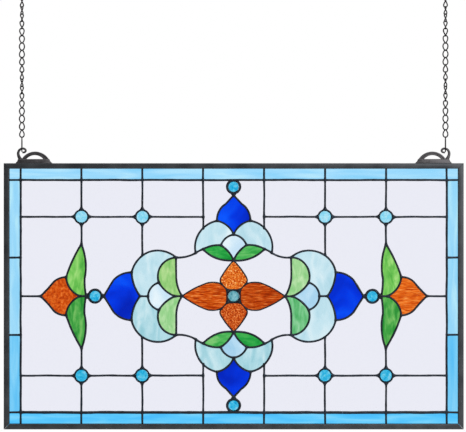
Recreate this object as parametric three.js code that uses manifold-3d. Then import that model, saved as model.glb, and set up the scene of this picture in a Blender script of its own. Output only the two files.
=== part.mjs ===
// A stained glass panel in a slim metal frame, hung from two chains.
//
// Millimetres. X runs along the width, Y through the depth with the front at -Y, and Z is up.
// The origin is midway between the two top hooks, at the height of the seats that they hang by.
//
// The leaded pattern is the same in each quarter of the panel, so it is drawn once, for the upper
// right quarter, with u measured out from the upright centre line and v up from the level one.

import * as THREE from 'three';
import { mergeVertices } from 'three/addons/utils/BufferGeometryUtils.js';
import Module from 'manifold-3d';

const wasm = await Module();
wasm.setup();

// ---- Driving dimensions ----

const PANEL_WIDTH = 610;
const PANEL_HEIGHT = 353;
const RAIL_FACE = 7.2;          // a frame rail's width, seen from the front
const RAIL_DEPTH = 9;
const CHANNEL_DEPTH = 3.5;      // how far the channel in a rail takes the glass in
const GLASS_THICKNESS = 3;
const LEAD_DEPTH = 5.2;         // the lead stands proud of the glass on both faces
const LEAD_HALF = 1.3;          // half the width of a lead line
const GAP = 0.3;                // clearance between pieces that touch
const CURVE_ERROR = 1.5;        // how far a faceted curve may stray from the true one
const JEWEL_SIDES = 8;
const JEWEL_RING = 10.2;        // outer radius of the lead ring round a jewel
const JEWEL_DOME = 4.4;         // a jewel's front above the middle of the glass
const JEWEL_SHOULDER = 3.4;
const JEWEL_BACK = 3;

const HOOK_HEIGHT = 426;        // the hooks' seats above the panel's centre
const CHAIN_REACH = 281.2;      // a chain's distance from the upright centre line
const CHAIN_LINKS = 20;
const LINK_PITCH = 9.6;
const LINK_WIDTH = 8.4;
const LINK_WIRE = 1.6;
const LINK_BITE = 0.6;          // how far one link's end passes the next one's, centre to centre
const LINK_TWIST = THREE.MathUtils.degToRad(45);
const CHAIN_TWIST = THREE.MathUtils.degToRad(18.1);
const FACE_ON_LINK = 1.66;      // where, counted in links from the lowest, the chain lies flat
const CHAIN_FOOT = 211.4;       // the lowest link's foot above the panel's centre
const LINK_SQUARENESS = 0.8;    // below 1, a link's sides are straighter than an ellipse's
const CONNECTOR_WIRE = 1.2;
const CONNECTOR_WIDTH = 7.4;
const CONNECTOR_FOOT = 15.3;    // the connector's foot above the frame
const CONNECTOR_STEPS = 10;
const HOOK_WIRE = 2;
const HOOK_SEAT_RADIUS = 5.5;   // the hook's upper bend, along the middle of its wire
const HOOK_EYE_RADIUS = 3.2;
const HOOK_EYE_DROP = 1.2;      // the lower bend's foot below the last link's top
const LINK_STEPS = 6;           // straight lengths of wire round a link
const WIRE_SIDES = 3;

const BRACKET_DEPTH = 5.6;
const SCROLL_DEPTH = 3.1;
const SCROLL_STEPS = 10;
const SCROLL_HALF = 1.55;       // half the scroll's width
const SCROLL_TAPER = 0.7;       // how much of that its tail loses
const SCROLL_FLARE = 1.2;       // how much its root gains

const halfWidth = PANEL_WIDTH / 2;
const halfHeight = PANEL_HEIGHT / 2;
const innerWidth = halfWidth - RAIL_FACE;
const innerHeight = halfHeight - RAIL_FACE;

// ---- Materials ----

const finish = (color, roughness, metalness, opacity = 1) => new THREE.MeshStandardMaterial({
  color, roughness, metalness, opacity, transparent: opacity < 1,
});
const frameMetal = finish(0x44464a, 0.45, 0.8);
const leadMetal = finish(0x232c38, 0.45, 0.7);
const clearGlass = finish(0xe9ebf4, 0.15, 0, 0.5);
const skyGlass = finish(0x8ad2fb, 0.15, 0, 0.7);
const aquaGlass = finish(0xbfe1ea, 0.2, 0, 0.8);
const pearlGlass = finish(0xc4e2f6, 0.2, 0, 0.8);
const greenGlass = finish(0x5dbf62, 0.2, 0, 0.8);
const orangeGlass = finish(0xdd6116, 0.2, 0, 0.8);
const cobaltGlass = finish(0x0a33dd, 0.15, 0, 0.8);
const jewelGlass = finish(0x55c3e2, 0.1, 0, 0.8);

// ---- Outlines ----

const at = (u, v) => new THREE.Vector2(u, v);

// A curve from one point to the next. It bulges by its sag to the left of the way it runs.
const bow = (from, to, sag = 0) => ({ from, to, sag });
const back = (curve) => bow(curve.to, curve.from, -curve.sag);

// The points of a curve, without its last one.
function pointsAlong({ from, to, sag }) {
  const chord = to.clone().sub(from);
  const reach = chord.length() / 2;
  const middle = from.clone().addScaledVector(chord, 0.5);
  const forward = chord.normalize();
  const left = at(-forward.y, forward.x);
  const halfTurn = 2 * Math.atan2(Math.abs(sag), reach);
  const radius = reach / Math.sin(halfTurn);
  const steps = Math.max(1, Math.ceil(Math.sqrt(Math.abs(sag) / CURVE_ERROR)));
  const points = [from];
  for (let step = 1; step < steps; step += 1) {
    const angle = halfTurn * (2 * step / steps - 1);
    const rise = Math.sign(sag) * radius * (Math.cos(angle) - Math.cos(halfTurn));
    const level = middle.clone().addScaledVector(forward, radius * Math.sin(angle));
    points.push(level.addScaledVector(left, rise));
  }
  return points;
}

const closedOutline = (curves) => curves.flatMap(pointsAlong);

// An outline that is the same on both sides of an axis: the curves run from the axis to the axis.
function mirroredOutline(curves, flip) {
  const side = [...curves.flatMap(pointsAlong), curves.at(-1).to];
  return [...side, ...side.slice(1, -1).reverse().map(flip)];
}

const flipU = (point) => at(-point.x, point.y);
const flipV = (point) => at(point.x, -point.y);

const counterClockwise = (points) => (
  THREE.ShapeUtils.area(points) > 0 ? points : [...points].reverse());

// A strip along a curve, to a distance on each side of it.
function ribbon(curve, distance) {
  const points = [...pointsAlong(curve), curve.to];
  const forward = curve.to.clone().sub(curve.from).normalize();
  const side = at(-forward.y, forward.x).multiplyScalar(distance);
  const edge = (sign) => points.map((point) => point.clone().addScaledVector(side, sign));
  return [...edge(-1), ...edge(1).reverse()];
}

// The outline moved inward by a distance, with every corner kept sharp.
function inset(outline, distance) {
  const points = counterClockwise(outline);
  return points.map((point, index) => {
    const before = point.clone().sub(points.at(index - 1)).normalize();
    const after = points[(index + 1) % points.length].clone().sub(point).normalize();
    const inwardBefore = at(-before.y, before.x);
    const inwardAfter = at(-after.y, after.x);
    const corner = inwardBefore.add(inwardAfter);
    return point.clone().addScaledVector(corner, distance / (0.5 * corner.lengthSq()));
  });
}

// ---- The pattern's named points, in a quarter of the panel ----

const borderU = 282.8;
const borderV = 154.3;
const COLUMNS = [40.5, 121.3, 202.2];
const rowV = 105.4;
const sideBorderV = 51.4;

const petalHeel = at(76.3, 51.5);       // the side flower
const petalShoulder = at(135.5, 31.6);
const petalNose = at(124.4, 0);
const pearlNose = at(113.8, 0);
const pearlCheek = at(99.6, 18.3);
const pearlTail = at(77.7, 0);
const leafWaist = at(76.3, 25);
const leafTip = at(68.5, 0);
const budNeck = at(159.5, 21);
const budTip = at(172.5, 0);

const endLeafTip = at(202.2, 69.2);       // the ornament at each end
const endLeafWaist = at(198.1, 23.5);
const endLeafRoot = at(196.1, 0);
const endLeafHeel = at(204.1, 0);
const endBudCheek = at(222.4, 25.5);
const endBudNeck = at(240, 18);
const endBudTip = at(256.7, 0);

const wavePetal = at(50.3, 57.5);       // the wave and the top flower
const waveLeaf = at(40.8, 62.7);
const wavePearl = at(17.1, 67.7);
const topFlowerRoot = at(0, 47.4);
const topPearlNose = at(0, 81.5);
const topShoulder = at(22.2, 100.2);
const topBudNeck = at(10.5, 122.5);
const topBudTip = at(0, 134);

const petalHub = at(8.9, 8.8);          // the centre flower
const petalMeet = at(16, 16.2);
const topPetalCheek = at(17.2, 25);
const sidePetalCheek = at(36, 17.6);

// ---- The pattern's curves ----

const petalOuter = bow(petalHeel, petalShoulder, 18.3);
const budInner = bow(petalShoulder, petalNose, 2.6);
const budOuter = [bow(petalShoulder, budNeck, 3), bow(budNeck, budTip)];
const petalSeam = bow(petalNose, pearlNose);
const pearlEdge = bow(pearlCheek, pearlNose, 3.8);
const leafUpper = bow(petalHeel, pearlCheek, 10.3);
const leafLower = bow(pearlCheek, pearlTail, 2.4);
const leafSeam = bow(pearlTail, leafTip);
const leafInner = [bow(leafTip, leafWaist, -1.8), bow(leafWaist, petalHeel)];

const endLeafOuter = bow(endLeafTip, endBudCheek, 1.5);
const endLeafLower = bow(endBudCheek, endLeafHeel, 4.5);
const endLeafSeam = bow(endLeafHeel, endLeafRoot);
const endLeafInner = [bow(endLeafRoot, endLeafWaist, -0.6), bow(endLeafWaist, endLeafTip, 3.4)];
const endBudEdge = [bow(endBudCheek, endBudNeck, 2.1), bow(endBudNeck, endBudTip, -0.5)];

const waveOverClear = bow(petalHeel, wavePetal, 2.2);
const waveAtPetal = bow(wavePetal, waveLeaf, -0.4);
const waveAtLeaf = bow(waveLeaf, wavePearl, -2.05);
const topLeafLower = bow(waveLeaf, topFlowerRoot, 5.2);
const topLeafInner = bow(wavePearl, topFlowerRoot, -2.1);
const topPearlEdge = bow(topPearlNose, wavePearl, 3.2);
const topPetalOuter = bow(topShoulder, wavePetal, 10.9);
const topBudInner = bow(topPearlNose, topShoulder, 3.8);
const topBudOuter = [bow(topBudTip, topBudNeck), bow(topBudNeck, topShoulder, 3.5)];

const topPetalEdge = [bow(topFlowerRoot, topPetalCheek, 1), bow(topPetalCheek, petalMeet, 1.5)];
const sidePetalEdge = [bow(petalMeet, sidePetalCheek, 1.6), bow(sidePetalCheek, leafTip, 1.4)];
const petalSplit = bow(petalMeet, petalHub);

// ---- Glass outlines, along the middle of the lead ----

const sideFlower = {
  petal: closedOutline([petalOuter, budInner, petalSeam, back(pearlEdge), back(leafUpper)]),
  leaf: closedOutline([leafUpper, leafLower, leafSeam, ...leafInner]),
  bud: mirroredOutline([back(budInner), ...budOuter], flipV),
  pearl: mirroredOutline([back(pearlEdge), leafLower], flipV),
};
const endOrnament = {
  leaf: closedOutline([endLeafOuter, endLeafLower, endLeafSeam, ...endLeafInner]),
  bud: mirroredOutline([back(endLeafLower), ...endBudEdge], flipV),
};
const topFlower = {
  petal: closedOutline([topPetalOuter, waveAtPetal, waveAtLeaf, back(topPearlEdge), topBudInner]),
  leaf: closedOutline([waveAtLeaf, topLeafInner, back(topLeafLower)]),
  bud: mirroredOutline([...topBudOuter, back(topBudInner)], flipU),
  pearl: mirroredOutline([topPearlEdge, topLeafInner], flipU),
};
const centreFlower = {
  top: mirroredOutline([...topPetalEdge, petalSplit, bow(petalHub, at(0, petalHub.y))], flipU),
  side: mirroredOutline([bow(at(petalHub.x, 0), petalHub), back(petalSplit), ...sidePetalEdge], flipV),
};

// All the clear glass of the right half, from the upright centre line out to the border.
function clearOutline() {
  const quarter = closedOutline([
    bow(at(0, borderV), topBudTip), ...topBudOuter, topPetalOuter, waveAtPetal, topLeafLower,
    ...topPetalEdge, ...sidePetalEdge, ...leafInner, petalOuter, ...budOuter,
    bow(budTip, endLeafRoot), ...endLeafInner, endLeafOuter, ...endBudEdge,
  ]);
  const border = [at(borderU, -borderV), at(borderU, borderV)];
  return [...border, ...quarter, endBudTip, ...quarter.map(flipV).reverse()];
}

// ---- Solids ----

// A THREE geometry as a manifold solid.
function solid(geometry) {
  const bare = geometry.index ? geometry.clone() : geometry;
  bare.deleteAttribute('normal');
  bare.deleteAttribute('uv');
  const merged = mergeVertices(bare, 1e-4);
  return new wasm.Manifold(new wasm.Mesh({
    numProp: 3,
    vertProperties: new Float32Array(merged.attributes.position.array),
    triVerts: new Uint32Array(merged.index.array),
  }));
}

function geometryOf(manifold) {
  const mesh = manifold.getMesh();
  const geometry = new THREE.BufferGeometry();
  geometry.setAttribute('position', new THREE.BufferAttribute(mesh.vertProperties, 3));
  geometry.setIndex(new THREE.BufferAttribute(mesh.triVerts, 1));
  geometry.computeVertexNormals();
  return geometry;
}

// A flat plate with its outline in the upright plane, between two depths. Its front is at -Y.
function plate(outline, front, rear, holes = []) {
  const shape = new THREE.Shape(counterClockwise(outline));
  shape.holes = holes.map((hole) => new THREE.Path(hole));
  const geometry = new THREE.ExtrudeGeometry(shape, { depth: rear - front, bevelEnabled: false });
  return geometry.rotateX(Math.PI / 2).translate(0, rear, 0);
}

const centredPlate = (outline, depth, holes) => plate(outline, -depth / 2, depth / 2, holes);

const rectangle = (left, low, right, high) => [
  at(left, low), at(right, low), at(right, high), at(left, high),
];

const circle = (centre, radius) => Array.from({ length: JEWEL_SIDES }, (_, side) => {
  const angle = 2 * Math.PI * (side + 0.5) / JEWEL_SIDES;
  return at(centre.x + radius * Math.cos(angle), centre.y + radius * Math.sin(angle));
});

const united = (solids) => solids.reduce((whole, piece) => whole.add(piece));

// ---- Sub-parts ----

const panel = new THREE.Group();
panel.position.z = -HOOK_HEIGHT;

function place(name, geometry, material) {
  const mesh = new THREE.Mesh(geometry, material);
  mesh.name = name;
  panel.add(mesh);
}

const SIDES = [
  { name: 'left', u: -1, v: 1 },
  { name: 'right', u: 1, v: 1 },
];
const LEVELS = [
  { name: 'upper', v: 1 },
  { name: 'lower', v: -1 },
];

const facing = (outline, u, v) => outline.map((point) => at(point.x * u, point.y * v));
const glassPane = (outline) => centredPlate(inset(outline, LEAD_HALF + GAP), GLASS_THICKNESS);

// Every coloured pane, with its name, outline and glass.
function colouredPanes() {
  const panes = [];
  const add = (name, outline, u, v, glass) => panes.push([name, facing(outline, u, v), glass]);
  for (const side of SIDES) {
    add(`${side.name}_flower_bud`, sideFlower.bud, side.u, 1, cobaltGlass);
    add(`${side.name}_flower_pearl`, sideFlower.pearl, side.u, 1, pearlGlass);
    add(`${side.name}_end_bud`, endOrnament.bud, side.u, 1, orangeGlass);
    add(`centre_petal_${side.name}`, centreFlower.side, side.u, 1, orangeGlass);
    for (const level of LEVELS) {
      add(`${side.name}_flower_petal_${level.name}`, sideFlower.petal, side.u, level.v, aquaGlass);
      add(`${side.name}_flower_leaf_${level.name}`, sideFlower.leaf, side.u, level.v, greenGlass);
      add(`${side.name}_end_leaf_${level.name}`, endOrnament.leaf, side.u, level.v, greenGlass);
    }
  }
  for (const [end, v] of [['top', 1], ['bottom', -1]]) {
    add(`${end}_flower_bud`, topFlower.bud, 1, v, cobaltGlass);
    add(`${end}_flower_pearl`, topFlower.pearl, 1, v, pearlGlass);
    add(`centre_petal_${end}`, centreFlower.top, 1, v, orangeGlass);
    for (const side of SIDES) {
      add(`${end}_flower_petal_${side.name}`, topFlower.petal, side.u, v, aquaGlass);
      add(`${end}_flower_leaf_${side.name}`, topFlower.leaf, side.u, v, greenGlass);
    }
  }
  return panes;
}

// Every round jewel, with its name, centre and radius.
function jewels() {
  const [, inner, outer] = COLUMNS;
  const list = [
    ['jewel_centre', at(0, 0), 7.5],
    ['jewel_top', at(0, 145.3), 7.1],
    ['jewel_bottom', at(0, -145.3), 7.1],
    ['jewel_left', at(-184.2, 0), 7.3],
    ['jewel_right', at(184.2, 0), 7.3],
  ];
  for (const side of SIDES) {
    for (const level of LEVELS) {
      const name = `jewel_${level.name}_${side.name}`;
      list.push([`${name}_inner`, at(side.u * inner, level.v * rowV), 8.1]);
      list.push([`${name}_outer`, at(side.u * outer, level.v * rowV), 8.1]);
    }
  }
  return list;
}

// A pressed jewel: a low dome in front and a flatter one behind.
function jewelGeometry(centre, radius) {
  const edge = GLASS_THICKNESS / 2;
  const dome = [at(0, -JEWEL_DOME), at(0.7 * radius, -JEWEL_SHOULDER)];
  const profile = [...dome, at(radius, -edge), at(radius, edge), at(0, JEWEL_BACK)];
  const geometry = new THREE.LatheGeometry(profile, JEWEL_SIDES, Math.PI / JEWEL_SIDES);
  return geometry.translate(centre.x, 0, centre.y);
}

// Straight leads that cross the clear glass, each as a rectangle in the upright plane.
function crossingLeads() {
  const leads = [];
  const upright = (u, low, high) => leads.push(rectangle(u - LEAD_HALF, low, u + LEAD_HALF, high));
  const level = (v, left, right) => leads.push(rectangle(left, v - LEAD_HALF, right, v + LEAD_HALF));
  const frameU = innerWidth - GAP;
  const frameV = innerHeight - GAP;
  const [near, middle, far] = COLUMNS;
  upright(near, 90, frameV);
  upright(middle, 54.5, frameV);
  upright(far, 69, frameV);
  upright(borderU, borderV, frameV);
  level(rowV, near, borderU);
  level(borderV, borderU, frameU);
  level(sideBorderV, borderU, frameU);
  level(0, endBudTip.x - 1, borderU);
  return leads;
}

// The lead: walls between the coloured panes, and flat strips over the glass that runs behind them.
function leadGeometry(panes, jewelList) {
  const cut = (outline) => solid(centredPlate(outline, 2 * LEAD_DEPTH));
  const edgeU = borderU + LEAD_HALF;
  const edgeV = borderV + LEAD_HALF;
  const field = solid(centredPlate(rectangle(-edgeU, -edgeV, edgeU, edgeV), LEAD_DEPTH));
  const clear = [1, -1].map((u) => facing(clearOutline(), u, 1));
  const openings = [...panes.map(([, outline]) => outline), ...clear];
  const walls = field.subtract(united(openings.map((outline) => cut(inset(outline, LEAD_HALF)))));

  const strips = [];
  const reach = LEAD_DEPTH / 2;
  const glassFace = GLASS_THICKNESS / 2 + GAP;
  const outlines = [...crossingLeads(), ribbon(waveOverClear, LEAD_HALF)];
  for (const [front, rear] of [[-reach, -glassFace], [glassFace, reach]]) {
    for (const [u, v] of [[1, 1], [-1, 1], [1, -1], [-1, -1]]) {
      const quarter = outlines.map((outline) => solid(plate(facing(outline, u, v), front, rear)));
      strips.push(...quarter);
    }
  }
  const ringed = jewelList.slice(1);        // the centre jewel sits in the square between the petals
  const rings = ringed.map(([, centre]) => solid(centredPlate(circle(centre, JEWEL_RING), LEAD_DEPTH)));
  const bores = jewelList.map(([, centre, radius]) => cut(circle(centre, radius + GAP)));
  return geometryOf(walls.add(united([...strips, ...rings])).subtract(united(bores)));
}

function clearSheet(u, jewelList) {
  const sheet = solid(glassPane(facing(clearOutline(), u, 1)));
  const rings = jewelList.slice(1).map(([, centre]) => (
    solid(centredPlate(circle(centre, JEWEL_RING + 2 * GAP), 2 * GLASS_THICKNESS))));
  return geometryOf(sheet.subtract(united(rings)));
}

function borderGlass() {
  const reach = CHANNEL_DEPTH - GAP;
  const edge = LEAD_HALF + GAP;
  const outer = rectangle(-innerWidth - reach, -innerHeight - reach, innerWidth + reach, innerHeight + reach);
  const inner = rectangle(-borderU - edge, -borderV - edge, borderU + edge, borderV + edge);
  return centredPlate(outer, GLASS_THICKNESS, [inner]);
}

// A channel rail, mitred at both ends. It is drawn lying along X, with its channel facing -Z.
function railGeometry(length) {
  const face = RAIL_FACE;
  const half = RAIL_DEPTH / 2;
  const slot = GLASS_THICKNESS / 2 + GAP;
  const section = [
    at(-half, 0), at(-half, -face), at(-slot, -face), at(-slot, CHANNEL_DEPTH - face),
    at(slot, CHANNEL_DEPTH - face), at(slot, -face), at(half, -face), at(half, 0),
  ];
  const shape = new THREE.Shape(counterClockwise(section));
  const geometry = new THREE.ExtrudeGeometry(shape, { depth: 1, bevelEnabled: false });
  const position = geometry.attributes.position;
  for (let index = 0; index < position.count; index += 1) {
    const [depth, drop, end] = [position.getX(index), position.getY(index), position.getZ(index)];
    const reach = length / 2 + drop - GAP / 2;
    position.setXYZ(index, end > 0.5 ? reach : -reach, depth, drop);
  }
  return geometry;
}

// ---- The hanger brackets ----
// s runs from the chain towards the panel's middle and h up from the top of the frame.

// The arch's outlines, each a bow between two feet: its back, the hole below it, and the two
// edges of the groove that runs along its face.
const ARCH_BACK = { near: -0.4, far: 35.8, base: 5.2, rise: 10.3 };
const ARCH_HOLE = { near: 5.6, far: 28.6, base: 5.4, rise: 5.4 };
const GROOVE_BACK = { near: 0.8, far: 34.4, base: 5.2, rise: 8.7 };
const GROOVE_BELLY = { near: 3.6, far: 30.8, base: 5.3, rise: 7.1 };

// The scroll up to the chain, along the middle of its bar.
const SCROLL_SPINE = new THREE.SplineCurve([
  at(-2, 5), at(-4.2, 9.4), at(-4.9, 13.8), at(-3.2, 17.6), at(0.2, 19.5),
  at(3.4, 19.1), at(5.2, 17.2), at(4.2, 15), at(1.7, 14.4),
]);

const FOOT = [at(-8.2, GAP), at(40.2, GAP), at(36.2, 5.4), at(-5.2, 5.4)];

function archOutline({ near, far, base, rise }) {
  const end = at(near, base);
  return [...pointsAlong(bow(at(far, base), end, -rise)), end];
}

function scrollOutline() {
  const left = [];
  const right = [];
  for (let step = 0; step <= SCROLL_STEPS; step += 1) {
    const along = step / SCROLL_STEPS;
    const middle = SCROLL_SPINE.getPoint(along);
    const tangent = SCROLL_SPINE.getTangent(along);
    const half = SCROLL_HALF - SCROLL_TAPER * along ** 3 + SCROLL_FLARE * (1 - along) ** 6;
    const side = at(-tangent.y, tangent.x).multiplyScalar(half);
    left.push(middle.clone().add(side));
    right.unshift(middle.clone().sub(side));
  }
  return [...left, ...right];
}

function bracketGeometry(direction) {
  const placed = (outline) => outline.map((point) => (
    at(direction * (point.x - CHAIN_REACH), point.y + halfHeight)));
  const bar = (outline, depth) => solid(centredPlate(placed(outline), depth));
  const arch = bar(archOutline(ARCH_BACK), BRACKET_DEPTH);
  const hole = bar(archOutline(ARCH_HOLE), 2 * BRACKET_DEPTH);
  const land = bar(archOutline(GROOVE_BELLY), 2 * BRACKET_DEPTH);
  const web = SCROLL_DEPTH / 2;
  const grooves = [[-BRACKET_DEPTH, -web], [web, BRACKET_DEPTH]].map(([front, rear]) => (
    solid(plate(placed(archOutline(GROOVE_BACK)), front, rear)).subtract(land)));
  const base = bar(FOOT, RAIL_DEPTH);
  const scroll = bar(scrollOutline(), SCROLL_DEPTH);
  return geometryOf(arch.subtract(united(grooves)).subtract(hole).add(base).add(scroll));
}

// ---- The chains ----

// A loop of wire, which may turn about its own length.
class WireLoop extends THREE.Curve {
  constructor(width, height, facingAngle, twist) {
    super();
    Object.assign(this, { width, height, facingAngle, twist });
  }

  getPoint(t) {
    const angle = 2 * Math.PI * t + Math.PI / 2;
    const side = Math.sign(Math.cos(angle)) * Math.abs(Math.cos(angle)) ** LINK_SQUARENESS;
    const across = this.width / 2 * side;
    const turn = this.facingAngle - this.twist * Math.sin(angle);
    const height = this.height / 2 * Math.sin(angle);
    return new THREE.Vector3(across * Math.cos(turn), across * Math.sin(turn), height);
  }
}

function wireRing(loop, steps, wire, x, z) {
  return solid(new THREE.TubeGeometry(loop, steps, wire / 2, WIRE_SIDES, true).translate(x, 0, z));
}

// The points of a bend in the hook's wire, from one angle to another in degrees.
function bend(x, z, radius, from, to, steps) {
  return Array.from({ length: steps + 1 }, (_, step) => {
    const angle = THREE.MathUtils.degToRad(from + (to - from) * step / steps);
    return new THREE.Vector3(x + radius * Math.cos(angle), 0, z + radius * Math.sin(angle));
  });
}

// The S hook at the top: its lower bend holds the last link and its upper bend is the seat.
function topHook(x, foot) {
  const seatMiddle = HOOK_HEIGHT + HOOK_WIRE / 2 - HOOK_SEAT_RADIUS;
  const path = new THREE.CatmullRomCurve3([
    ...bend(x, seatMiddle, HOOK_SEAT_RADIUS, -25, 180, 6),
    ...bend(x, foot + HOOK_EYE_RADIUS, HOOK_EYE_RADIUS, 0, -190, 4),
  ]);
  const half = HOOK_WIRE / Math.sqrt(8);
  const wire = new THREE.Shape(rectangle(-half, -half, half, half));
  return solid(new THREE.ExtrudeGeometry(wire, { steps: 13, extrudePath: path, bevelEnabled: false }));
}

function chainGeometry(x) {
  const length = LINK_PITCH + LINK_BITE;
  const rings = [];
  for (let link = 0; link < CHAIN_LINKS; link += 1) {
    const facingAngle = CHAIN_TWIST * (link - FACE_ON_LINK);
    const loop = new WireLoop(LINK_WIDTH - LINK_WIRE, length, facingAngle, LINK_TWIST);
    rings.push(wireRing(loop, LINK_STEPS, LINK_WIRE, x, CHAIN_FOOT + LINK_PITCH * (link + 0.5)));
  }
  const ringFoot = halfHeight + CONNECTOR_FOOT;
  const ringTop = CHAIN_FOOT + LINK_BITE / 2;
  const connector = new WireLoop(CONNECTOR_WIDTH, ringTop - ringFoot, Math.PI / 2, 0);
  rings.push(wireRing(connector, CONNECTOR_STEPS, CONNECTOR_WIRE, x, (ringTop + ringFoot) / 2));
  const lastTop = CHAIN_FOOT + LINK_PITCH * CHAIN_LINKS + LINK_BITE / 2;
  rings.push(topHook(x, lastTop - HOOK_EYE_DROP));
  return geometryOf(united(rings));
}

// ---- The whole object ----

const panes = colouredPanes();
const jewelList = jewels();

// Each rail is drawn lying along X, then turned and moved to its edge of the panel.
const rail = (name, length, turn, x, z) => (
  place(`frame_rail_${name}`, railGeometry(length).rotateY(turn).translate(x, 0, z), frameMetal));
rail('top', PANEL_WIDTH, 0, 0, halfHeight);
rail('bottom', PANEL_WIDTH, Math.PI, 0, -halfHeight);
rail('left', PANEL_HEIGHT, -Math.PI / 2, -halfWidth, 0);
rail('right', PANEL_HEIGHT, Math.PI / 2, halfWidth, 0);
for (const side of SIDES) {
  place(`hanger_bracket_${side.name}`, bracketGeometry(-side.u), frameMetal);
  place(`hanging_chain_${side.name}`, chainGeometry(side.u * CHAIN_REACH), frameMetal);
  place(`clear_glass_${side.name}`, clearSheet(side.u, jewelList), clearGlass);
}
place('border_glass', borderGlass(), skyGlass);
place('lead_lines', leadGeometry(panes, jewelList), leadMetal);
for (const [name, outline, glass] of panes) {
  place(name, glassPane(outline), glass);
}
for (const [name, centre, radius] of jewelList) {
  place(name, jewelGeometry(centre, radius), jewelGlass);
}

export default panel;
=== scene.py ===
"""The looks of a stained glass panel that hangs in a slim metal frame from two twisted chains.

The pattern is drawn in millimetres for one quarter of the panel, with u out from the upright
centre line and v up from the level one, as in the part's own source, and mirrored into the other
three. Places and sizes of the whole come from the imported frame.
"""

import math

import bpy
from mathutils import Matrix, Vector, noise
from mathutils.geometry import delaunay_2d_cdt


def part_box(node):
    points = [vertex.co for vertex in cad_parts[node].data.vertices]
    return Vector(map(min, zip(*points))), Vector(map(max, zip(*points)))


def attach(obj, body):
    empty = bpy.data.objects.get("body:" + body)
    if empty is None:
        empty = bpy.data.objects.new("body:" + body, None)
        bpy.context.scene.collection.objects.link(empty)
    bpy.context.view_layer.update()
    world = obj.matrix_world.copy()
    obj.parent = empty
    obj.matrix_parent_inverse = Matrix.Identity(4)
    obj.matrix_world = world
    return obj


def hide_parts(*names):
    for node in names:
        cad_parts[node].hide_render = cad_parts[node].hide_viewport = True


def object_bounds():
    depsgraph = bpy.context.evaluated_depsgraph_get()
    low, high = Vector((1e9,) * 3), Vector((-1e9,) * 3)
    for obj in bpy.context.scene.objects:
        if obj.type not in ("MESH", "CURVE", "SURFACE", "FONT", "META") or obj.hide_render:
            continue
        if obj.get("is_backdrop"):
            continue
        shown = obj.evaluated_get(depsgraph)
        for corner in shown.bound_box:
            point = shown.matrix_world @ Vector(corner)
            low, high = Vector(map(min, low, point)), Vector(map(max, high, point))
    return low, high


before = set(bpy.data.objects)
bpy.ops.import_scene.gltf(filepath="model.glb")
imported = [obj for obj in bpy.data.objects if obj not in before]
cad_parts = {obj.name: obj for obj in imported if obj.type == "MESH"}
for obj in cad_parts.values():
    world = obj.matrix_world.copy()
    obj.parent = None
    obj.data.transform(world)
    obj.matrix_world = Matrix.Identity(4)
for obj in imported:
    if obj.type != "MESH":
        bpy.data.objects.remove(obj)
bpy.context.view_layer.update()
scene = bpy.context.scene

# ---- The frame that the CAD gives ----

panel_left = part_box("frame_rail_left")[0].x
panel_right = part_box("frame_rail_right")[1].x
panel_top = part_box("frame_rail_top")[1].z
panel_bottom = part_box("frame_rail_bottom")[0].z
PANEL_WIDTH = 610
MM = (panel_right - panel_left) / PANEL_WIDTH  # metres in one millimetre of the drawing
PANEL_HEIGHT = (panel_top - panel_bottom) / MM
CENTRE_Z = (panel_top + panel_bottom) / 2

rail_low, rail_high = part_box("frame_rail_top")
RAIL_FACE = (rail_high.z - rail_low.z) / MM
RAIL_DEPTH = (rail_high.y - rail_low.y) / MM
lead_low, lead_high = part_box("lead_lines")
LEAD_DEPTH = (lead_high.y - lead_low.y) / MM
glass_low, glass_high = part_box("border_glass")
GLASS_THICKNESS = (glass_high.y - glass_low.y) / MM
CHANNEL_REACH = (rail_high.x - glass_high.x) / MM  # from the frame's outside to the border glass's edge

HALF_WIDTH = PANEL_WIDTH / 2
HALF_HEIGHT = PANEL_HEIGHT / 2

# ---- Driving dimensions of the looks, in millimetres ----

WOBBLE = 0.45  # how far hand-laid leads stray
WOBBLE_LENGTH = 27  # about the distance from one stray to the next
WOBBLE_SEED = 5  # keeps the strays the same in each run
CURVE_STEP = 2  # between the points of a curve
STRAIGHT_SAG = 0.01  # a curve that sags less than this is straight

BORDER_HALF = 1.5  # half width of the border's leads
FOOT_HALF = 1.9  # of the border's lowest one
GRID_HALF = 1.4  # of the straight leads between clear panes
MOTIF_HALF = 1.4  # of the curved leads
CENTRE_HALF = 1  # of those round the middle flower
BEAD_SIDES = 12
BEAD_FULLNESS = 0.75  # below 1 a round section is squarer
WIDTH_UNEVENNESS = 0.12  # how much a lead's width varies, as a share of it
WIDTH_LENGTH = 6
WIDTH_SEED = 40
DEPTH_UNEVENNESS = 0.07  # and its depth
DEPTH_LENGTH = 5
DEPTH_SEED = 80

JOINT_FLARE = 0.7  # how far solder widens a lead's end at a joint
RING_FLARE = 2.2  # and where it meets a jewel's ring
FLARE_LENGTH = 1.8  # how soon the widening dies away
RAIL_LAP = 1  # how far a lead runs in behind the rail's face
RING_OUTER = 10.2  # the lead ring round a jewel
RING_LAP = 0.6  # how far a straight lead runs into it
RING_REACH = RING_OUTER - RING_LAP
RING_GRIP = 0.1  # how far a ring laps over its jewel
RING_RISE = 0.15  # how far it stands proud of the leads on each face
RING_STEPS = 36
JEWEL_LEVELS = 10
JEWEL_STEPS = 32

SOLDER_SPREAD = 0.45  # how far a joint's drop of solder spreads past the leads
SOLDER_RISE = 0.1
SOLDER_LEVELS = 8
SOLDER_STEPS = 10
SOLDER_FULLNESS = 0.7
HUB_HALF = 0.8  # the square of lead round the centre jewel
HUB_SOLDER = 3  # the drops of solder that fill its corners
HUB_SOLDER_PLACE = 0.84  # their place, as a share of the way out to the corner

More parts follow.
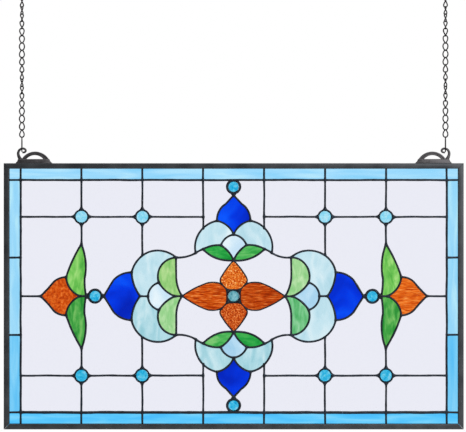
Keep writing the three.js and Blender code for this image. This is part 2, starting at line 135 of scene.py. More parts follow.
PANE_TUCK = 0.35  # a pane's edge from the middle of the lead that holds it
BORDER_THINNING = 0.4  # the border's glass is this much thinner than its CAD node
BLUNTING = 0.3  # a larger one blunts more of an outline's sharp corners
RELIEF_STEP = 3.2  # between the points of a pane's faces
RELIEF_MARGIN = RELIEF_STEP / 3
SAME_PLACE = 1e-4  # points of a pane nearer than this are one
REAR_SEED = 50  # sets the swells of a pane's rear face apart from the front's
CLEAR_SEED = 100  # and the clear and border panes' from the coloured ones'
BORDER_SEED = 200
SMOOTH_SHEET = (14, 0.12)  # kinds of glass: length between swells, and their height
ROLLED_SHEET = (7, 0.18)
GRANITE_SHEET = (3.4, 0.3)
SHARP_ANGLE = math.radians(40)

noise.seed_set(WOBBLE_SEED)

# ---- Outlines ----


def at(u, v):
    return Vector((u, v))


def left_of(way):
    return at(-way.y, way.x)


def back(curve):
    start, end, sag = curve
    return end, start, -sag


def arc_points(curve, step=CURVE_STEP):
    """The points of a curve that bulges by its sag to the left of the way it runs, ends included."""
    start, end, sag = curve
    chord = end - start
    reach = chord.length / 2
    count = max(1, round(chord.length / step))
    if abs(sag) < STRAIGHT_SAG:
        return [start.lerp(end, index / count) for index in range(count + 1)]
    forward = chord.normalized()
    left = left_of(forward)
    half_turn = 2 * math.atan2(abs(sag), reach)
    radius = reach / math.sin(half_turn)
    middle = (start + end) / 2
    points = []
    for index in range(count + 1):
        angle = half_turn * (2 * index / count - 1)
        rise = math.copysign(radius * (math.cos(angle) - math.cos(half_turn)), sag)
        points.append(middle + forward * (radius * math.sin(angle)) + left * rise)
    return points


def outline(curves):
    """One closed outline from curves that follow each other."""
    points = []
    for curve in curves:
        points.extend(arc_points(curve)[:-1])
    return points


def turned(point, u, v):
    """A point of the quarter where u and v are above zero, mirrored by signs into another one."""
    return at(point.x * u, point.y * v)


def facing(points, u, v):
    return [turned(point, u, v) for point in points]


def mirrored(curves, u, v):
    """The outline of curves that run from an axis to that axis, and of their mirror image."""
    image = [back((turned(start, u, v), turned(end, u, v), -sag)) for start, end, sag in reversed(curves)]
    return outline([*curves, *image])


def rectangle(left, low, right, high):
    return [at(left, low), at(right, low), at(right, high), at(left, high)]


# ---- The pattern's named points, in a quarter of the panel ----

BORDER_U = 282.8  # the leads between the border and the field
BORDER_V = 154.3
COLUMNS = (40.5, 121.3, 202.2)
ROW_V = 105.4
SIDE_BORDER_V = 51.4  # where leads cross the border's upright sides
NEAR_FOOT_V = 90  # where a column's lead starts on the top flower's petal
MIDDLE_FOOT_V = 54.5  # and on a side flower's
TOP_JEWEL_V = 145.3
SIDE_JEWEL_U = 184.2
CENTRE_JEWEL = 7.5  # radii of the jewels
END_JEWEL = 7.1
SIDE_JEWEL = 7.3
GRID_JEWEL = 8.1

petal_heel = at(76.3, 51.5)
petal_shoulder = at(135.5, 31.6)
petal_nose = at(124.4, 0)
pearl_nose = at(113.8, 0)
pearl_cheek = at(99.6, 18.3)
pearl_tail = at(77.7, 0)
leaf_waist = at(76.3, 25)
leaf_tip = at(68.5, 0)
bud_neck = at(159.5, 21)
bud_tip = at(172.5, 0)

end_leaf_tip = at(202.2, 69.2)
end_leaf_waist = at(198.1, 23.5)
end_leaf_root = at(196.1, 0)
end_leaf_heel = at(204.1, 0)
end_bud_cheek = at(222.4, 25.5)
end_bud_neck = at(240, 18)
end_bud_tip = at(256.7, 0)

wave_petal = at(50.3, 57.5)
wave_leaf = at(40.8, 62.7)
wave_pearl = at(17.1, 67.7)
top_root = at(0, 47.4)
top_pearl_nose = at(0, 81.5)
top_shoulder = at(22.2, 100.2)
top_bud_neck = at(10.5, 122.5)
top_bud_tip = at(0, 134)

petal_hub = at(8.9, 8.8)
petal_meet = at(16, 16.2)
top_petal_cheek = at(17.2, 25)
side_petal_cheek = at(36, 17.6)

# ---- The pattern's curves: start, end and sag ----

petal_outer = (petal_heel, petal_shoulder, 18.3)
bud_inner = (petal_shoulder, petal_nose, 2.6)
bud_outer = [(petal_shoulder, bud_neck, 3), (bud_neck, bud_tip, 0)]
petal_seam = (petal_nose, pearl_nose, 0)
pearl_edge = (pearl_cheek, pearl_nose, 3.8)
leaf_upper = (petal_heel, pearl_cheek, 10.3)
leaf_lower = (pearl_cheek, pearl_tail, 2.4)
leaf_seam = (pearl_tail, leaf_tip, 0)
leaf_inner = [(leaf_tip, leaf_waist, -1.8), (leaf_waist, petal_heel, 0)]

end_leaf_outer = (end_leaf_tip, end_bud_cheek, 1.5)
end_leaf_lower = (end_bud_cheek, end_leaf_heel, 4.5)
end_leaf_seam = (end_leaf_heel, end_leaf_root, 0)
end_leaf_inner = [(end_leaf_root, end_leaf_waist, -0.6), (end_leaf_waist, end_leaf_tip, 3.4)]
end_bud_edge = [(end_bud_cheek, end_bud_neck, 2.1), (end_bud_neck, end_bud_tip, -0.5)]

wave_over_clear = (petal_heel, wave_petal, 2.2)
wave_at_petal = (wave_petal, wave_leaf, -0.4)
wave_at_leaf = (wave_leaf, wave_pearl, -2.05)
top_leaf_lower = (wave_leaf, top_root, 5.2)
top_leaf_inner = (wave_pearl, top_root, -2.1)
top_pearl_edge = (top_pearl_nose, wave_pearl, 3.2)
top_petal_outer = (top_shoulder, wave_petal, 10.9)
top_bud_inner = (top_pearl_nose, top_shoulder, 3.8)
top_bud_outer = [(top_bud_tip, top_bud_neck, 0), (top_bud_neck, top_shoulder, 3.5)]

top_petal_edge = [(top_root, top_petal_cheek, 1), (top_petal_cheek, petal_meet, 1.5)]
side_petal_edge = [(petal_meet, side_petal_cheek, 1.6), (side_petal_cheek, leaf_tip, 1.4)]
petal_split = (petal_meet, petal_hub, 0)

QUARTERS = ((1, 1), (-1, 1), (1, -1), (-1, -1))
ROUND_QUARTERS = ((1, 1), (-1, 1), (-1, -1), (1, -1))  # in the order that goes round the panel
SIDES = (("left", -1), ("right", 1))
LEVELS = (("upper", 1), ("lower", -1))
ENDS = (("top", 1), ("bottom", -1))

# ---- Meshes ----


def straight(start, end):
    return arc_points((start, end, 0))


def sides_of(points):
    """Each point of an outline with the one after it."""
    return zip(points, points[1:] + points[:1])


def turns(count):
    """The angles of one full turn, in even steps."""
    return [2 * math.pi * step / count for step in range(count)]


def squarer(value, fullness):
    """A sine or cosine with its sign kept, nearer to 1 where the fullness is below 1."""
    return math.copysign(abs(value) ** fullness, value)


def strayed(point):
    """Where a hand-made panel puts a point of the drawing. All that meets there strays together."""
    spot = Vector((point.x, point.y, 0)) / WOBBLE_LENGTH
    shift = noise.noise_vector(spot)
    return at(point.x + WOBBLE * shift.x, point.y + WOBBLE * shift.y)


def uneven(point, seed, length):
    """A value about zero that varies over the drawing. Every seed has its own."""
    return noise.noise(Vector((point.x, point.y, seed)) / length)


def in_frame(u, v, depth):
    """A point of the drawing in the shared frame. Depth runs from the middle of the glass to the back."""
    return Vector((u * MM, depth * MM, CENTRE_Z + v * MM))


class Shape:
    """Vertices and faces of one piece, gathered in millimetres of the drawing."""

    def __init__(self):
        self.points = []
        self.faces = []

    def loft(self, rings, closed=False):
        """A skin through rings of as many points each, capped at both ends or closed on itself."""
        made = []
        for points in rings:
            first = len(self.points)
            self.points.extend(points)
            made.append(list(range(first, len(self.points))))
        for one, other in sides_of(made) if closed else zip(made, made[1:]):
            for (low, high), (far_low, far_high) in zip(sides_of(one), sides_of(other)):
                self.faces.append((low, high, far_high, far_low))
        if not closed:
            self.faces.append(tuple(reversed(made[0])))
            self.faces.append(tuple(made[-1]))

    def piece(self, name, material, slot, nodes):
        """The finished piece, riding on the part and standing for these CAD nodes."""
        mesh = bpy.data.meshes.new(name)
        mesh.from_pydata([in_frame(u, v, depth) for u, v, depth in self.points], [], self.faces)
        mesh.materials.append(material)
        mesh.polygons.foreach_set("use_smooth", [True] * len(mesh.polygons))
        mesh.update()
        mesh.set_sharp_from_angle(angle=SHARP_ANGLE)
        piece = bpy.data.objects.new(name, mesh)
        scene.collection.objects.link(piece)
        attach(piece, "root")
        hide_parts(*nodes)


def headings(points, closed):
    """Which way a line runs at each of its points."""
    first, last = (points[-1], points[0]) if closed else (points[0], points[-1])
    neighbours = zip([first, *points[:-1]], [*points[1:], last])
    return [(after - before).normalized() for before, after in neighbours]


def bead_section(half_width, half_depth):
    """A rounded section: across the line, and through the panel."""
    section = []
    for side in range(BEAD_SIDES):
        angle = 2 * math.pi * (side + 0.5) / BEAD_SIDES
        across = squarer(math.cos(angle), BEAD_FULLNESS)
        through = squarer(math.sin(angle), BEAD_FULLNESS)
        section.append((half_width * across, half_depth * through))
    return section


def add_bead(shape, points, half_width, half_depth, flares=(0, 0), closed=False):
    """A rounded line of lead along points of the drawing. It widens by its flares at its two ends."""
    points = [strayed(point) for point in points]
    lengths = [0]
    for one, other in zip(points, points[1:]):
        lengths.append(lengths[-1] + (other - one).length)
    rings = []
    for point, forward, length in zip(points, headings(points, closed), lengths):
        side = left_of(forward)
        near = flares[0] * math.exp(-(length / FLARE_LENGTH) ** 2)
        far = flares[1] * math.exp(-((lengths[-1] - length) / FLARE_LENGTH) ** 2)
        wider = WIDTH_UNEVENNESS * uneven(point, WIDTH_SEED, WIDTH_LENGTH)
        deeper = DEPTH_UNEVENNESS * (uneven(point, DEPTH_SEED, DEPTH_LENGTH) - 1)
        width = half_width * (1 + wider) + near + far
        depth = half_depth * (1 + deeper)
        rings.append([
            (point.x + side.x * across, point.y + side.y * across, through)
            for across, through in bead_section(width, depth)
        ])
    shape.loft(rings, closed)


def flat_ring(centre, radius, depth, steps):
    """A circle that lies level with the glass."""
    return [
        (centre.x + radius * math.cos(turn), centre.y + radius * math.sin(turn), depth)
        for turn in turns(steps)
    ]


def add_blob(shape, centre, radius, half_depth):
    """A flat, round drop of solder over a joint."""
    place = strayed(centre)
    rings = []
    for level in range(1, SOLDER_LEVELS):
        angle = math.pi * level / SOLDER_LEVELS
        around = radius * squarer(math.sin(angle), SOLDER_FULLNESS)
        through = -half_depth * squarer(math.cos(angle), SOLDER_FULLNESS)
        rings.append(flat_ring(place, around, through, SOLDER_STEPS))
    shape.loft(rings)


def densified(points):
    """An outline with more points on its long straight stretches, so that they can stray too."""
    dense = []
    for one, other in sides_of(points):
        count = max(1, round((other - one).length / CURVE_STEP))
        dense.extend(one.lerp(other, index / count) for index in range(count))
    return dense


def inward(points, distance):
    """An outline moved inward by a distance. Very sharp corners are blunted."""
    area = sum(a.x * b.y - b.x * a.y for a, b in sides_of(points))
    if area < 0:
        points = list(reversed(points))
    ways = [(end - start).normalized() for start, end in sides_of(points)]
    moved = []
    for point, before, after in zip(points, [ways[-1], *ways], ways):
        corner = left_of(before) + left_of(after)
        moved.append(point + corner * (distance / max(0.5 * corner.length_squared, BLUNTING)))
    return moved


def is_inside(point, points):
    inside = False
    for one, other in sides_of(points):
        if (one.y > point.y) != (other.y > point.y):
            across = one.x + (point.y - one.y) * (other.x - one.x) / (other.y - one.y)
            if point.x < across:
                inside = not inside
    return inside


def swell(spot, sheet, seed):
    """How far a pane's face swells at a spot, by its kind of sheet."""
    length, height = sheet
    return height * noise.noise(Vector((spot.x / length, spot.y / length, seed)))


def pane_shape(edge, thickness, sheet, seed):
    """A sheet of glass with its outline and two uneven faces."""
    boundary = inward([strayed(point) for point in densified(edge)], PANE_TUCK)
    core = inward(boundary, RELIEF_MARGIN)
    all_u = [point.x for point in boundary]
    all_v = [point.y for point in boundary]
    points = list(boundary)
    for row in range(int((max(all_v) - min(all_v)) / RELIEF_STEP) + 1):
        start = min(all_u) + (RELIEF_STEP / 2 if row % 2 else 0)
        for column in range(int((max(all_u) - min(all_u)) / RELIEF_STEP) + 1):
            spot = at(start + column * RELIEF_STEP, min(all_v) + row * RELIEF_STEP)
            if is_inside(spot, core):
                points.append(spot)
    ring = list(range(len(boundary)))
    spots, _, faces, *_ = delaunay_2d_cdt(points, [], [ring], 1, SAME_PLACE)
    shape = Shape()
    rear = len(spots)
    for spot in spots:
        shape.points.append((spot.x, spot.y, -thickness / 2 - swell(spot, sheet, seed)))
    for spot in spots:
        shape.points.append((spot.x, spot.y, thickness / 2 + swell(spot, sheet, seed + REAR_SEED)))
    edges = {}
    for face in faces:
        shape.faces.append(tuple(face))
        shape.faces.append(tuple(rear + corner for corner in reversed(face)))
        for one, other in sides_of(face):
            edges[(one, other)] = edges.pop((other, one), None) is None
    for (one, other), open_edge in edges.items():
        if open_edge:
            shape.faces.append((other, one, rear + one, rear + other))
    return shape


def tube_rings(points, radii, sides, closed=False):
    """Rings round a wire through points (u, v, depth), with a frame carried along it."""
    points = [Vector(point) for point in points]
    ways = headings(points, closed)
    across = ways[0].orthogonal().normalized()
    rings = []
    for point, forward, radius in zip(points, ways, radii):
        across = (across - forward * across.dot(forward)).normalized()
        other = forward.cross(across)
        rings.append([
            tuple(point + (across * math.cos(turn) + other * math.sin(turn)) * radius)
            for turn in turns(sides)
        ])
    return rings


def wire_rings(points, wire, sides, closed=False):
    """Rings round a wire of one thickness."""
    return tube_rings(points, [wire / 2] * len(points), sides, closed)


# ---- Materials ----

FACE_RIPPLE = 0.0006  # metres, as all depths of bumps are
GLASS_IOR = 1.45
GLASS_GLINT = (0.3, 0.3, 0.3, 1)
ANY_WAY = (1, 1, 1)  # how a pattern is drawn out along the three axes
ALONG = (0.12, 1, 1)
UPWARD = (1, 1, 0.12)


def linear(code):
    """The linear colour of a six-figure code."""
    channels = [int(code[index:index + 2], 16) / 255 for index in (0, 2, 4)]
    return tuple(c / 12.92 if c <= 0.04045 else ((c + 0.055) / 1.055) ** 2.4 for c in channels)


def grey(value):
    return (value, value, value)


def set_inputs(node, values):
    for socket, value in values.items():
        node.inputs[socket].default_value = value


class Look:
    """A material in the making."""

    def __init__(self, name):
        self.material = bpy.data.materials.new(name)
        self.material.use_nodes = True
        self.nodes = self.material.node_tree.nodes
        self.link = self.material.node_tree.links.new
        self.shader = self.nodes["Principled BSDF"]

    def drawn_noise(self, scale, detail, stretch=ANY_WAY, distortion=0.0):
        """A noise over the object's own space, drawn out along an axis by its stretch."""
        place = self.nodes.new("ShaderNodeTexCoord")
        mapping = self.nodes.new("ShaderNodeMapping")
        texture = self.nodes.new("ShaderNodeTexNoise")
        set_inputs(mapping, {"Scale": stretch})
        set_inputs(texture, {"Scale": scale, "Detail": detail, "Distortion": distortion})
        self.link(place.outputs["Object"], mapping.inputs["Vector"])
        self.link(mapping.outputs["Vector"], texture.inputs["Vector"])
        return texture.outputs["Fac"]

    def ramp(self, socket, factor, stops):
        """Feeds a socket of the shader with a colour ramp over a factor: (position, colour) pairs."""
        ramp = self.nodes.new("ShaderNodeValToRGB")
        elements = ramp.color_ramp.elements
        while len(elements) < len(stops):
            elements.new(0.5)
        for element, (position, colour) in zip(elements, stops):
            element.position = position
            element.color = (*colour, 1)
        self.link(factor, ramp.inputs["Fac"])
        self.link(ramp.outputs["Color"], self.shader.inputs[socket])

    def bump(self, height, strength, distance):
        bump = self.nodes.new("ShaderNodeBump")
        set_inputs(bump, {"Strength": strength, "Distance": distance})
        self.link(height, bump.inputs["Height"])
        self.link(bump.outputs["Normal"], self.shader.inputs["Normal"])


def metal(name, dark, light, metallic, rough, grain, dents):
    """Aged metal: its tone and its polish both vary in soft patches."""
    look = Look(name)
    patches = look.drawn_noise(grain, detail=6)
    look.ramp("Base Color", patches, [(0.3, linear(dark)), (0.75, linear(light))])
    look.ramp("Roughness", patches, [(0.25, grey(rough[0])), (0.8, grey(rough[1]))])
    set_inputs(look.shader, {"Metallic": metallic})
    look.bump(look.drawn_noise(4 * grain, detail=4), strength=0.5, distance=dents)
    return look.material


def coloured_glass(name, stops, codes, scale, roughness, ripple, stretch=ANY_WAY, detail=5,
                   distortion=0.6, ior=GLASS_IOR):
    """Coloured sheet glass: its colour runs in streaks or specks, and its face is rippled."""
    look = Look(name)
    streaks = look.drawn_noise(scale, detail, stretch, distortion)
    look.ramp("Base Color", streaks, [(stop, linear(code)) for stop, code in zip(stops, codes)])
    set_inputs(look.shader, {
        "Roughness": roughness, "IOR": ior, "Specular Tint": GLASS_GLINT, "Transmission Weight": 1,
    })
    look.bump(look.drawn_noise(ripple, detail=2), strength=0.3, distance=FACE_RIPPLE)
    return look.material


def see_through_glass(name, code, roughness, ripple):
    """Clear sheet glass with a faint tint, rolled so that its face is softly uneven."""
    look = Look(name)
    set_inputs(look.shader, {
        "Base Color": (*linear(code), 1), "Roughness": roughness, "IOR": GLASS_IOR, "Transmission Weight": 1,
    })
    look.bump(look.drawn_noise(ripple, detail=2), strength=0.2, distance=FACE_RIPPLE)
    return look.material


FRAME_METAL = metal("frame_metal", "33363a", "484b4e", 0.7, rough=(0.4, 0.6), grain=40, dents=0.0001)
BRACKET_METAL = metal("bracket_metal", "363436", "525052", 0.6, rough=(0.4, 0.65), grain=130, dents=0.00015)
CHAIN_METAL = metal("chain_metal", "100e0f", "262324", 0.4, rough=(0.4, 0.6), grain=200, dents=0.00005)
LEAD_METAL = metal("lead_metal", "080e17", "1c2836", 0.5, rough=(0.4, 0.65), grain=150, dents=0.0002)
CLEAR_GLASS = see_through_glass("clear_glass", "edeef8", roughness=0.03, ripple=45)

# What the coloured glasses of one kind have in common. The stops are the places of their colours.
GLASS_KINDS = {
    "sky": dict(stops=(0.3, 0.5, 0.7), scale=120, roughness=0.08, ripple=60),
    "aqua": dict(stops=(0.28, 0.5, 0.72), stretch=(1, 1, 0.45), roughness=0.12, ripple=90, distortion=1.2),
    "pearl": dict(stops=(0.28, 0.5, 0.72), scale=40, stretch=(1, 1, 0.6), roughness=0.12, ripple=90,
                  distortion=1.2),
    "leaf": dict(stops=(0.32, 0.5, 0.68), scale=150, roughness=0.1, ripple=110, distortion=0.8),
    "grained": dict(stops=(0.38, 0.47, 0.55, 0.66), scale=1050, stretch=(0.09, 1, 1), roughness=0.12,
                    ripple=160, detail=3, distortion=0.5),
    "granite": dict(stops=(0.36, 0.46, 0.54, 0.64), scale=560, roughness=0.14, ripple=260, detail=2,
                    distortion=0.2),
    "mottled": dict(stops=(0.34, 0.5, 0.66), scale=300, roughness=0.12, ripple=160, detail=4,
                    distortion=0.3),
    "cobalt": dict(stops=(0.3, 0.5, 0.72), scale=26, roughness=0.06, ripple=90),
    "jewel": dict(stops=(0.34, 0.5, 0.66), scale=200, roughness=0.2, ripple=120, ior=1.12),
}


def glass(name, kind, *codes, **own):
    """Glass of a kind in colours from dark to light. What is its own comes before its kind's."""
    return coloured_glass(f"{name}_glass", codes=codes, **{**GLASS_KINDS[kind], **own})


PALE_SKY = glass("pale_sky", "sky", "84d2fb", "9fdcfe", "bdecfe", stretch=ALONG)
DEEP_SKY = glass("deep_sky", "sky", "46bafb", "5ecbff", "84d8ff", stretch=ALONG)
PALE_SKY_SIDE = glass("pale_sky_side", "sky", "88d2f8", "9edbfb", "b8ecfb", stretch=UPWARD)
MID_SKY_SIDE = glass("mid_sky_side", "sky", "56bdf5", "6ec9f8", "90d9fb", stretch=UPWARD)
PALE_AQUA = glass("pale_aqua", "aqua", "aed8e6", "c6e6f1", "e0f3f9", scale=55)
DEEP_AQUA = glass("deep_aqua", "aqua", "8cc6d2", "aedae5", "d4eef4", scale=70)
PALE_PEARL = glass("pale_pearl", "pearl", "c2e0f6", "d4ecfa", "e8f6fd")
DEEP_PEARL = glass("deep_pearl", "pearl", "98cbea", "b2daf2", "cdeafa")
FOREST_GREEN = glass("forest_green", "leaf", "108430", "28a646", "62c262", stretch=(0.35, 1, 1))
GRASS_GREEN = glass("grass_green", "leaf", "2c9a3e", "4ab558", "8ccf7c", stretch=(0.35, 1, 1))
LEAF_GREEN = glass("leaf_green", "leaf", "1a7e2e", "42a444", "86c86e", stretch=(1, 1, 0.3))
SPRING_GREEN = glass("spring_green", "leaf", "4aa840", "76c95a", "b2e68a", stretch=(1, 1, 0.3))
PALE_GREEN = glass("pale_green", "leaf", "7fc878", "a4d998", "c8ebb8", stretch=(1, 1, 0.4))
LIME_GREEN = glass("lime_green", "leaf", "74be60", "98d07c", "bce29a", stretch=(1, 1, 0.4))
MINT_GREEN = glass("mint_green", "leaf", "44a85c", "70c483", "a4dcb0", stretch=(1, 1, 0.3))
GRAINED_ORANGE = glass("grained_orange", "grained", "842000", "c84204", "e05c0e", "fcb068")
GRAINED_RUST = glass("grained_rust", "grained", "781c00", "b43804", "d0500c", "f09850")
GRAINED_AMBER = glass("grained_amber", "grained", "b03604", "e4600e", "f47820", "ffb468")
GRANITE_ORANGE = glass("granite_orange", "granite", "942804", "dc540a", "f2821e", "ffd294")
GRANITE_RUST = glass("granite_rust", "granite", "7c1e04", "c0400a", "dc6218", "f8b070")
MOTTLED_ORANGE = glass("mottled_orange", "mottled", "9c2c04", "d4500a", "f08438")
COBALT_GLASS = glass("cobalt", "cobalt", "0022b8", "0036e4", "0656ff")
PALE_JEWEL = glass("pale_jewel", "jewel", "72daf2", "9ce8fa", "c4f4fc")
DEEP_JEWEL = glass("deep_jewel", "jewel", "0ea4d6", "3cc6ea", "9ce6f6")
TEAL_JEWEL = glass("teal_jewel", "jewel", "3c8696", "6cadba", "a0d2da", scale=220)

# ---- Lead ----


def grid_lines():
    """The straight leads of a quarter: start, end, flares. A jewel's ring cuts those it sits on."""
    near, middle, far = COLUMNS
    top = HALF_HEIGHT - RAIL_FACE + RAIL_LAP
    side = HALF_WIDTH - RAIL_FACE + RAIL_LAP
    ring = RING_FLARE
    joint = JOINT_FLARE
    lines = [
        (at(near, NEAR_FOOT_V), at(near, ROW_V), joint, joint),
        (at(near, ROW_V), at(near, BORDER_V), joint, joint),
        (at(near, BORDER_V), at(near, top), joint, 0),
        (at(near, ROW_V), at(middle - RING_REACH, ROW_V), joint, ring),
        (at(middle + RING_REACH, ROW_V), at(far - RING_REACH, ROW_V), ring, ring),
        (at(far + RING_REACH, ROW_V), at(BORDER_U, ROW_V), ring, joint),
        (at(BORDER_U, BORDER_V), at(BORDER_U, top), joint, 0),
        (at(BORDER_U, BORDER_V), at(side, BORDER_V), joint, 0),
        (at(BORDER_U, SIDE_BORDER_V), at(side, SIDE_BORDER_V), joint, 0),
    ]
    for column, low in ((middle, MIDDLE_FOOT_V), (far, end_leaf_tip.y)):
        lines.append((at(column, low), at(column, ROW_V - RING_REACH), joint, ring))
        lines.append((at(column, ROW_V + RING_REACH), at(column, BORDER_V), ring, joint))
        lines.append((at(column, BORDER_V), at(column, top), joint, 0))
    return lines


def motif_lines():
    """The curved leads of a quarter, each a row of curves that follow each other."""
    return [
        [petal_outer], [bud_inner], bud_outer, [pearl_edge], [leaf_upper], [leaf_lower], leaf_inner,
        [end_leaf_outer], [end_leaf_lower], end_leaf_inner, end_bud_edge,
        [wave_over_clear], [wave_at_petal], [wave_at_leaf], [top_leaf_lower], [top_leaf_inner],
        [top_pearl_edge], [top_petal_outer], [top_bud_inner], top_bud_outer,
    ]


def centre_lines():
    """The curved leads of a quarter of the middle flower."""
    return [top_petal_edge, side_petal_edge, [petal_split]]


def axis_lines():
    """Leads that lie on the panel's two centre lines: start, end, flares."""
    joint = (JOINT_FLARE, JOINT_FLARE)
    to_ring = (JOINT_FLARE, RING_FLARE)
    return [
        (petal_nose, pearl_nose, joint),
        (pearl_tail, leaf_tip, joint),
        (end_leaf_heel, end_leaf_root, joint),
        (bud_tip, at(SIDE_JEWEL_U - RING_REACH, 0), to_ring),
        (end_leaf_root, at(SIDE_JEWEL_U + RING_REACH, 0), (RING_FLARE, RING_FLARE)),
        (end_bud_tip, at(BORDER_U, 0), joint),
        (top_bud_tip, at(0, TOP_JEWEL_V - RING_REACH), to_ring),
    ]


def all_jewels():
    """Every jewel: name, centre and radius."""
    jewels = [
        ("centre", at(0, 0), CENTRE_JEWEL),
        ("top", at(0, TOP_JEWEL_V), END_JEWEL),
        ("bottom", at(0, -TOP_JEWEL_V), END_JEWEL),
        ("left", at(-SIDE_JEWEL_U, 0), SIDE_JEWEL),
        ("right", at(SIDE_JEWEL_U, 0), SIDE_JEWEL),
    ]
    for level, v in LEVELS:
        for side, u in SIDES:
            for place, column in (("inner", COLUMNS[1]), ("outer", COLUMNS[2])):
                jewels.append((f"{level}_{side}_{place}", turned(at(column, ROW_V), u, v), GRID_JEWEL))
    return jewels


def lead_network():
    """All leads, the jewels' rings and the solder on the joints, as one piece."""
    shape = Shape()
    depth = LEAD_DEPTH / 2
    joints = {}

    def add_jointed(points, half, flares):
        add_bead(shape, points, half, depth, flares)
        for end in (points[0], points[-1]):
            key = (round(end.x, 1), round(end.y, 1))
            joints[key] = max(half + SOLDER_SPREAD, joints.get(key, 0))

    for u, v in QUARTERS:
        for start, end, near, far in grid_lines():
            add_jointed(straight(turned(start, u, v), turned(end, u, v)), GRID_HALF, (near, far))
        for half, lines in ((MOTIF_HALF, motif_lines()), (CENTRE_HALF, centre_lines())):
            for curves in lines:
                points = outline(curves) + [curves[-1][1]]
                add_jointed(facing(points, u, v), half, (JOINT_FLARE, JOINT_FLARE))
    for start, end, flares in axis_lines():
        opposite = (-1, 1) if start.y == 0 else (1, -1)
        for u, v in ((1, 1), opposite):
            add_bead(shape, straight(turned(start, u, v), turned(end, u, v)), MOTIF_HALF, depth, flares)

    hub_corners = [turned(petal_hub, u, v) for u, v in ROUND_QUARTERS]
    for start, end in sides_of(hub_corners):
        add_bead(shape, straight(start, end), HUB_HALF, depth)
    for corner in hub_corners:
        add_blob(shape, HUB_SOLDER_PLACE * corner, HUB_SOLDER, depth)

    border_corners = [turned(at(BORDER_U, BORDER_V), u, v) for u, v in ROUND_QUARTERS]
    for start, end in sides_of(border_corners):
        half = FOOT_HALF if start.y == end.y < 0 else BORDER_HALF
        add_bead(shape, straight(start, end), half, depth, (JOINT_FLARE, JOINT_FLARE))

    for name, centre, radius in all_jewels():
        outer = petal_hub.x + HUB_HALF / 2 if name == "centre" else RING_OUTER
        inner = radius - RING_GRIP
        middle = (outer + inner) / 2
        circle = [centre + at(math.cos(turn), math.sin(turn)) * middle for turn in turns(RING_STEPS)]
        add_bead(shape, circle, (outer - inner) / 2, depth + RING_RISE, closed=True)
    for (u, v), radius in sorted(joints.items()):
        if abs(u) < HALF_WIDTH - RAIL_FACE and abs(v) < HALF_HEIGHT - RAIL_FACE:
            add_blob(shape, at(u, v), radius, depth + SOLDER_RISE)
    shape.piece("lead_network", LEAD_METAL, "lead", ["lead_lines"])


# ---- Glass ----


def cut_where(points, u):
    """The index of the point of a curve that lies nearest to the upright line at u."""
    return min(range(len(points)), key=lambda index: abs(points[index].x - u))


def clear_outlines():
    """The clear panes of a quarter, along the middle of their leads."""
    near, middle, far = COLUMNS
    top_petal = arc_points(top_petal_outer)
    side_petal = arc_points(petal_outer)
    near_cut = cut_where(top_petal, near)
    middle_cut = cut_where(side_petal, middle)
    return [
        [at(0, BORDER_V), at(0, TOP_JEWEL_V), *outline(top_bud_outer), *top_petal[:near_cut + 1],
         at(near, ROW_V), at(near, BORDER_V)],
        rectangle(near, ROW_V, middle, BORDER_V),
        rectangle(middle, ROW_V, far, BORDER_V),
        rectangle(far, ROW_V, BORDER_U, BORDER_V),
        [at(near, ROW_V), *top_petal[near_cut:], *arc_points(back(wave_over_clear))[1:],
         *side_petal[1:middle_cut + 1], at(middle, ROW_V)],
        [at(middle, ROW_V), *side_petal[middle_cut:], *outline(bud_outer)[1:], bud_tip,
         at(SIDE_JEWEL_U, 0), *outline(end_leaf_inner), end_leaf_tip, at(far, ROW_V)],
        [at(far, ROW_V), *arc_points(end_leaf_outer), *outline(end_bud_edge)[1:], end_bud_tip,
         at(BORDER_U, 0), at(BORDER_U, ROW_V)],
        [*arc_points(top_leaf_lower), *outline(top_petal_edge)[1:], *outline(side_petal_edge),
         *outline(leaf_inner), *arc_points(wave_over_clear), *arc_points(wave_at_petal)[1:-1]],
    ]


def border_panes():
    """The border panes of the whole panel, each with its glass: the rows with the corners, the sides."""
    edge_u = HALF_WIDTH - CHANNEL_REACH - PANE_TUCK
    edge_v = HALF_HEIGHT - CHANNEL_REACH - PANE_TUCK
    stops = [-edge_u, -BORDER_U, *(-column for column in reversed(COLUMNS)), *COLUMNS, BORDER_U, edge_u]
    rows = [-BORDER_V, -SIDE_BORDER_V, SIDE_BORDER_V, BORDER_V]
    panes = []
    for low, high, sky in ((BORDER_V, edge_v, PALE_SKY), (-edge_v, -BORDER_V, DEEP_SKY)):
        for left, right in zip(stops, stops[1:]):
            panes.append((rectangle(left, low, right, high), sky))
    for left, right in ((-edge_u, -BORDER_U), (BORDER_U, edge_u)):
        for low, high, sky in zip(rows, rows[1:], (MID_SKY_SIDE, PALE_SKY_SIDE, PALE_SKY_SIDE)):
            panes.append((rectangle(left, low, right, high), sky))
    return panes


SIDE_PETAL = outline([petal_outer, bud_inner, petal_seam, back(pearl_edge), back(leaf_upper)])
SIDE_LEAF = outline([leaf_upper, leaf_lower, leaf_seam, *leaf_inner])
SIDE_BUD = mirrored([back(bud_inner), *bud_outer], 1, -1)
SIDE_PEARL = mirrored([back(pearl_edge), leaf_lower], 1, -1)
END_LEAF = outline([end_leaf_outer, end_leaf_lower, end_leaf_seam, *end_leaf_inner])
END_BUD = mirrored([back(end_leaf_lower), *end_bud_edge], 1, -1)
TOP_PETAL = outline([top_petal_outer, wave_at_petal, wave_at_leaf, back(top_pearl_edge), top_bud_inner])
TOP_LEAF = outline([wave_at_leaf, top_leaf_inner, back(top_leaf_lower)])
TOP_BUD = mirrored([*top_bud_outer, back(top_bud_inner)], -1, 1)
TOP_PEARL = mirrored([top_pearl_edge, top_leaf_inner], -1, 1)
hub_top = (petal_hub, at(0, petal_hub.y), 0)
hub_side = (at(petal_hub.x, 0), petal_hub, 0)
CENTRE_END_PETAL = mirrored([*top_petal_edge, petal_split, hub_top], -1, 1)
